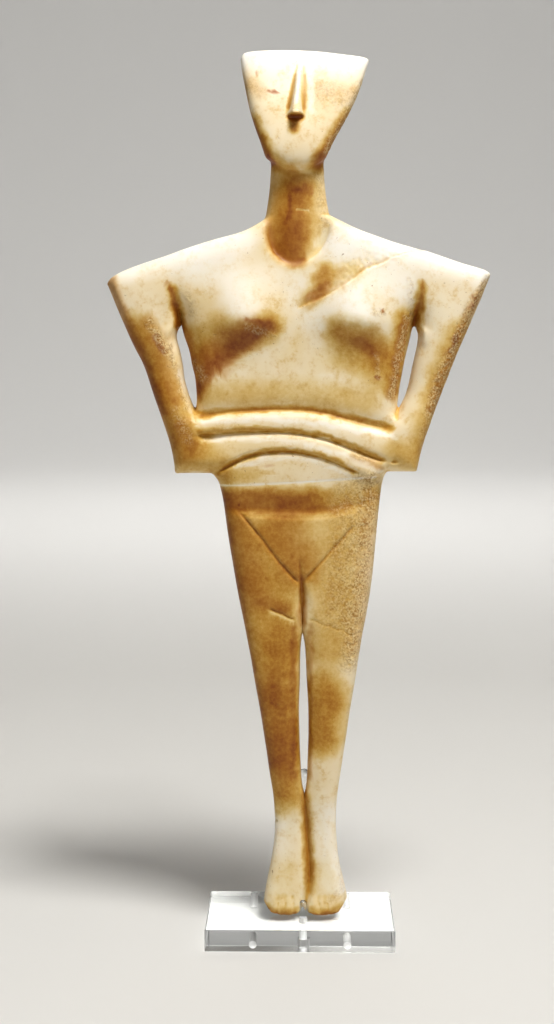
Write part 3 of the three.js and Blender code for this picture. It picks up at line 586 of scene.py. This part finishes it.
def makeFigure():
    piece = bpy.data.objects.new("figurine_marble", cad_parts["figurine"].data.copy())
    scene.collection.objects.link(piece)
    selectOnly(piece)
    bpy.ops.object.mode_set(mode="EDIT")
    bpy.ops.mesh.select_all(action="SELECT")
    bpy.ops.mesh.remove_doubles(threshold=0.002 * mm)
    bpy.ops.mesh.tris_convert_to_quads(face_threshold=math.radians(50), shape_threshold=math.radians(60))
    bpy.ops.mesh.select_mode(type="EDGE")
    bpy.ops.mesh.select_all(action="DESELECT")
    bpy.ops.mesh.edges_select_sharp(sharpness=math.radians(marble["edgeAngle"]))
    bpy.ops.transform.edge_crease(value=marble["crease"])
    bpy.ops.object.mode_set(mode="OBJECT")
    applyModifier(piece, "SUBSURF", levels=2, render_levels=2)
    applyModifier(piece, "REMESH", mode="VOXEL", voxel_size=marble["voxel"] * mm)
    applyModifier(piece, "SMOOTH", factor=0.5, iterations=marble["smoothing"])
    print("marble remeshed to", len(piece.data.polygons), "faces")
    fillToes(piece)
    soften(piece)
    points, normals = readPoints(piece)
    crust = stainAndLightMasks(points, normals)["crust"]
    height = marble["swell"] + narrowSlots(points, normals)
    height += weather(points, crust) - carve(points, normals)
    writePoints(piece, points + normals * height[:, None])
    triangles = 2 * len(piece.data.polygons)
    applyModifier(piece, "DECIMATE", ratio=marble["triangles"] / triangles)
    points, normals = readPoints(piece)
    for kind, mask in stainAndLightMasks(points, normals).items():
        attribute = piece.data.attributes.new(kind, "FLOAT", "POINT")
        attribute.data.foreach_set("value", mask)
    hollow = piece.data.attributes.new("hollow", "FLOAT", "POINT")
    hollow.data.foreach_set("value", hollows(piece, points, normals))
    piece.data.materials.clear()
    piece.data.materials.append(wornMarble())
    finishPiece(piece, "figurine")


# How hollow the surface is around each point, from 0 to 1: where dirt and patina gather
def hollows(piece, points, normals, rounds=24):
    edges = np.empty(2 * len(piece.data.edges), dtype=np.int64)
    piece.data.edges.foreach_get("vertices", edges)
    first, second = edges.reshape(-1, 2).T
    count = np.bincount(first, minlength=len(points)) + np.bincount(second, minlength=len(points))
    relaxed = points.copy()
    for _ in range(rounds):
        for axis in range(3):
            total = (np.bincount(first, relaxed[second, axis], len(points))
                     + np.bincount(second, relaxed[first, axis], len(points)))
            relaxed[:, axis] = 0.5 * relaxed[:, axis] + 0.5 * total / count
    return np.clip(np.sum((relaxed - points) * normals, axis=1) / marble["creaseDepth"], 0, 1)


# Worn marble, once polished: cream stone that lets light in a little, with a honey patina and a
# matt brown crust, so it shows soft highlights and warm shadows
# Painted highlights and painted shade also come into its colour through the pale and stain masks
def wornMarble():
    material, tree, shader = newMaterial("worn_marble")
    place = addNode(tree, "ShaderNodeTexCoord").outputs["Object"]

    def mottle(size, detail=3, roughness=0.55, distortion=0.0):
        node = addNode(tree, "ShaderNodeTexNoise", {
            "Vector": place, "Scale": 1 / (size * mm), "Detail": detail, "Roughness": roughness,
            "Distortion": distortion})
        return node.outputs["Fac"]

    def mask(name):
        return addNode(tree, "ShaderNodeAttribute", attribute_name=name).outputs["Fac"]

    def between(value, low, high, toLow=0.0, toHigh=1.0):
        node = addNode(tree, "ShaderNodeMapRange", {
            "Value": value, "From Min": low, "From Max": high, "To Min": toLow, "To Max": toHigh},
            interpolation_type="SMOOTHSTEP")
        return node.outputs["Result"]

    def calculate(operation, *values):
        return addNode(tree, "ShaderNodeMath", dict(enumerate(values)), operation=operation).outputs[0]

    def blend(factor, under, over, blending="MIX"):
        node = addNode(tree, "ShaderNodeMix", {0: factor, 6: under, 7: over}, data_type="RGBA",
                       blend_type=blending)
        return node.outputs[2]

    # A patina lies over the stone like a filter: the thicker it is, the deeper the colour
    def filtered(under, tint, thickness):
        film = addNode(tree, "ShaderNodeGamma", {"Color": toLinear(tint), "Gamma": thickness})
        return blend(1.0, under, film.outputs[0], "MULTIPLY")

    colour = blend(between(mottle(38), 0.35, 0.68), toLinear("#f0e1c3"), toLinear("#e6cf9f"))
    # The pale mask whitens the stone and thins its patina: lighter stone at chips and scratches, painted
    # highlights elsewhere
    colour = blend(calculate("MULTIPLY", mask("pale"), 0.85), colour, toLinear("#f8f4ec"))
    bareAndHighlit = between(mask("pale"), 0, 1, 1, 0.35)
    ochre = calculate("MULTIPLY", between(mottle(5, 5, 0.65), 0.45, 0.72),
                      between(mottle(1.4, 3), 0.35, 0.65, 0.3, 1))
    clouds = calculate("MULTIPLY", between(mottle(1.7, 4, 0.65), 0.3, 0.7, 0.8, 1.2),
                       between(mottle(14, 4), 0.3, 0.7, 0.75, 1.25))
    honey = calculate("MULTIPLY", calculate("MULTIPLY", mask("honey"), 1.25), clouds)
    honey = calculate("MULTIPLY_ADD", ochre, 0.15, honey)
    honey = calculate("MULTIPLY_ADD", mask("hollow"), 0.55, honey)
    colour = filtered(colour, "#c79d45", calculate("MULTIPLY", honey, bareAndHighlit))
    cloud = between(mottle(3.5, 5, 0.6), 0.3, 0.7, 0.75, 1.15)
    brown = calculate("MULTIPLY_ADD", mask("brown"), cloud, calculate("MULTIPLY", ochre, 0.15))
    brown = calculate("MULTIPLY", brown, bareAndHighlit)
    colour = filtered(colour, "#bc9060", brown)
    colour = filtered(colour, "#aa7359", calculate("MULTIPLY", mask("redBrown"), cloud))
    grains = between(mottle(0.9, 4, 0.6), 0.38, 0.62)
    crumbs = blend(grains, toLinear("#94621c"), toLinear("#e2cb95"))
    crusted = calculate("MULTIPLY", mask("crust"), between(mottle(2.2, 5, 0.65), 0.35, 0.6, 0.15, 0.85))
    colour = blend(crusted, colour, crumbs)
    specks = calculate("MULTIPLY", between(mottle(1.2, 2), 0.68, 0.74), between(mottle(18, 2), 0.45, 0.65))
    colour = blend(calculate("MULTIPLY", specks, 0.7), colour, toLinear("#8a5a24"))
    tree.links.new(colour, shader.inputs["Base Color"])

    matt = calculate("MULTIPLY_ADD", mask("crust"), 0.3, between(mottle(3, 4), 0.3, 0.7, 0.42, 0.56))
    tree.links.new(matt, shader.inputs["Roughness"])
    shader.inputs["IOR"].default_value = 1.5
    shader.inputs["Specular IOR Level"].default_value = 0.3
    shader.inputs["Subsurface Weight"].default_value = 0.15
    shader.inputs["Subsurface Radius"].default_value = (1, 0.75, 0.5)
    shader.inputs["Subsurface Scale"].default_value = 2.5 * mm

    fine = addNode(tree, "ShaderNodeBump", {
        "Height": mottle(0.9, 4), "Strength": 0.25, "Distance": 0.12 * mm})
    coarse = addNode(tree, "ShaderNodeBump", {
        "Height": calculate("MULTIPLY", mottle(0.9, 3), mask("crust")), "Strength": 0.7,
        "Distance": 0.35 * mm, "Normal": fine.outputs[0]})
    tree.links.new(coarse.outputs[0], shader.inputs["Normal"])
    return material


makeFigure()
print("figure done")


# Stand: a clear acrylic slab, a pin and a post

acrylic = {
    "edge": 0.35,  # polished bevel
    "sides": 64,
    "slabAngle": 12,  # edges sharper than this in degrees stay crisp
    "rodAngle": 40,
    "boreFloor": 2,
    "clearance": 0.3,  # round a rod in its bore
    "wallBore": 3.6,
    "wallDepth": 18,
    "wallSpacing": 43.4,
    "overshoot": 2,  # how far a cutter stands out of the slab
}


# Cast acrylic with diamond-polished edges: clear and glossy, with bright edges
def polishedAcrylic():
    material, tree, shader = newMaterial("polished_cast_acrylic")
    shader.inputs["Base Color"].default_value = toLinear("#f6f9fa")
    shader.inputs["IOR"].default_value = 1.49
    shader.inputs["Transmission Weight"].default_value = 1
    shader.inputs["Roughness"].default_value = 0.012
    return material


# Drilled acrylic: the drill leaves a matt white wall
def drilledAcrylic():
    material, tree, shader = newMaterial("drilled_acrylic")
    place = addNode(tree, "ShaderNodeTexCoord").outputs["Object"]
    rings = addNode(tree, "ShaderNodeTexNoise", {"Vector": place, "Scale": 1 / (0.5 * mm), "Detail": 2.0})
    bump = addNode(tree, "ShaderNodeBump", {"Height": rings.outputs["Fac"], "Distance": 0.1 * mm})
    tree.links.new(bump.outputs[0], shader.inputs["Normal"])
    shader.inputs["Base Color"].default_value = toLinear("#ffffff")
    shader.inputs["IOR"].default_value = 1.49
    shader.inputs["Transmission Weight"].default_value = 0.4
    shader.inputs["Roughness"].default_value = 0.5
    return material


clear = polishedAcrylic()
drilled = drilledAcrylic()


def boxOf(node):
    low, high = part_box(node)
    return low, high, (low + high) / 2


def drill(slab, low, high, radius, axis, tip=0.0):
    middle = (Vector(low) + Vector(high)) / 2
    depth = (Vector(high) - Vector(low)).length
    turn = (math.radians(90), 0, 0) if axis == "Y" else (0, 0, 0)
    bpy.ops.object.select_all(action="DESELECT")
    bpy.ops.mesh.primitive_cylinder_add(
        vertices=acrylic["sides"], radius=radius, depth=depth, location=middle, rotation=turn)
    cutter = bpy.context.object
    applyPlace(cutter)
    if tip:
        bpy.ops.object.mode_set(mode="EDIT")
        selectWhere(cutter, lambda at: at.y < low[1] + 0.01 * mm)
        bpy.ops.mesh.extrude_region_move(TRANSFORM_OT_translate={"value": (0, -tip, 0)})
        bpy.ops.mesh.merge(type="CENTER")
        bpy.ops.object.mode_set(mode="OBJECT")
    cutter.data.materials.append(drilled)
    applyModifier(
        slab, "BOOLEAN", object=cutter, operation="DIFFERENCE", solver="EXACT", material_mode="TRANSFER")
    bpy.data.objects.remove(cutter)


def makeSlab():
    low, high, middle = boxOf("stand_slab")
    bpy.ops.object.select_all(action="DESELECT")
    bpy.ops.mesh.primitive_cube_add(size=1, location=middle, scale=high - low)
    slab = bpy.context.object
    slab.name = "stand_slab_acrylic"
    applyPlace(slab)
    applyModifier(slab, "BEVEL", width=acrylic["edge"] * mm, segments=3)
    slab.data.materials.append(clear)
    over = acrylic["overshoot"] * mm
    for node in ("front_pin", "rear_post"):
        rodLow, rodHigh, rod = boxOf(node)
        radius = (rodHigh.x - rodLow.x) / 2 + acrylic["clearance"] * mm
        start = (rod.x, rod.y, low.z + acrylic["boreFloor"] * mm)
        drill(slab, start, (rod.x, rod.y, high.z + over), radius, "Z")
    for side in (-1, 1):
        x = middle.x + side * acrylic["wallSpacing"] / 2 * mm
        inner = high.y - acrylic["wallDepth"] * mm
        radius = acrylic["wallBore"] / 2 * mm
        start = (x, inner + radius / 2, middle.z)
        drill(slab, start, (x, high.y + over, middle.z), radius, "Y", radius / 2)
    finishPiece(slab, "stand_slab", acrylic["slabAngle"])
    slab.visible_shadow = False


# A clear rod: a ball whose lower half is drawn down to the rod's foot
def makeRod(node):
    low, high, middle = boxOf(node)
    radius = (high.x - low.x) / 2
    dome = high.z - radius
    bpy.ops.object.select_all(action="DESELECT")
    bpy.ops.mesh.primitive_uv_sphere_add(
        segments=acrylic["sides"], ring_count=acrylic["sides"] // 2, radius=radius,
        location=(middle.x, middle.y, dome))
    rod = bpy.context.object
    rod.name = node + "_acrylic"
    applyPlace(rod)
    bpy.ops.object.mode_set(mode="EDIT")
    bpy.ops.mesh.select_all(action="SELECT")
    bpy.ops.mesh.bisect(plane_co=(middle.x, middle.y, dome), plane_no=(0, 0, 1), clear_inner=True)
    bpy.ops.mesh.select_all(action="DESELECT")
    bpy.ops.mesh.select_mode(type="EDGE")
    bpy.ops.mesh.select_non_manifold()
    bpy.ops.mesh.extrude_region_move(TRANSFORM_OT_translate={"value": (0, 0, low.z - dome)})
    bpy.ops.mesh.edge_face_add()
    bpy.ops.mesh.select_all(action="SELECT")
    bpy.ops.mesh.normals_make_consistent(inside=False)
    bpy.ops.object.mode_set(mode="OBJECT")
    rod.data.materials.append(clear)
    finishPiece(rod, node, acrylic["rodAngle"])
    rod.visible_shadow = False


makeSlab()
makeRod("front_pin")
makeRod("rear_post")
print("stand done")


# Studio: a pale floor that curves up all round, and soft lights

studio = {
    "floorRadius": 2.4,
    "floorSides": 96,
    "floorLevel": -0.05,  # a film of air in millimetres, so that the slab's underside still mirrors
    "coveRadius": 1.6,
    "coveSteps": 10,
    "floorColour": "#d2d1cf",
}


def makeFloor():
    bpy.ops.object.select_all(action="DESELECT")
    bpy.ops.mesh.primitive_circle_add(
        vertices=studio["floorSides"], radius=studio["floorRadius"], fill_type="NGON",
        location=(0, 0, studio["floorLevel"] * mm))
    floor = bpy.context.object
    floor.name = "studio_floor"
    bpy.ops.object.mode_set(mode="EDIT")
    bpy.ops.mesh.select_mode(type="EDGE")
    bpy.ops.mesh.select_all(action="DESELECT")
    bpy.ops.mesh.select_non_manifold()
    radius, level = studio["floorRadius"], 0.0
    for step in range(1, studio["coveSteps"] + 1):
        angle = math.radians(90) * step / studio["coveSteps"]
        nextRadius = studio["floorRadius"] + studio["coveRadius"] * math.sin(angle)
        nextLevel = studio["coveRadius"] * (1 - math.cos(angle))
        bpy.ops.mesh.extrude_region_move(TRANSFORM_OT_translate={"value": (0, 0, nextLevel - level)})
        ratio = nextRadius / radius
        bpy.ops.transform.resize(value=(ratio, ratio, 1), center_override=(0, 0, nextLevel))
        radius, level = nextRadius, nextLevel
    bpy.ops.object.mode_set(mode="OBJECT")
    applyPlace(floor)
    bpy.ops.object.shade_smooth()
    material, tree, shader = newMaterial("painted_studio_floor")
    shader.inputs["Base Color"].default_value = toLinear(studio["floorColour"])
    shader.inputs["Roughness"].default_value = 0.9
    shader.inputs["Specular IOR Level"].default_value = 0.1
    floor.data.materials.append(material)


def addLight(name, place, aim, size, power, colour):
    bpy.ops.object.light_add(type="AREA", location=place)
    light = bpy.context.object
    light.name = name
    light.rotation_euler = (Vector(aim) - Vector(place)).to_track_quat("-Z", "Y").to_euler()
    light.data.shape = "DISK"
    light.data.size = size
    light.data.energy = power
    light.data.color = toLinear(colour)[:3]
    light.visible_transmission = False


def makeStudio():
    makeFloor()
    addLight("key_light", (0.28, -0.43, 1.42), (0, 0, 0.25), 0.4, 21.5, "#fffdf8")
    addLight("fill_light", (0.5, -1.6, 0.7), (0, 0, 0.2), 1.2, 4, "#ffffff")
    addLight("backdrop_light", (0, 1.3, 1.8), (0, 3.7, 0.8), 1.6, 70, "#ffffff")
    world = bpy.data.worlds.new("studio_world")
    scene.world = world
    world.use_nodes = True
    background = world.node_tree.nodes["Background"]
    background.inputs["Color"].default_value = toLinear("#eef1f5")
    background.inputs["Strength"].default_value = 0.22
    scene.view_settings.view_transform = "Standard"


makeStudio()
print("studio done")
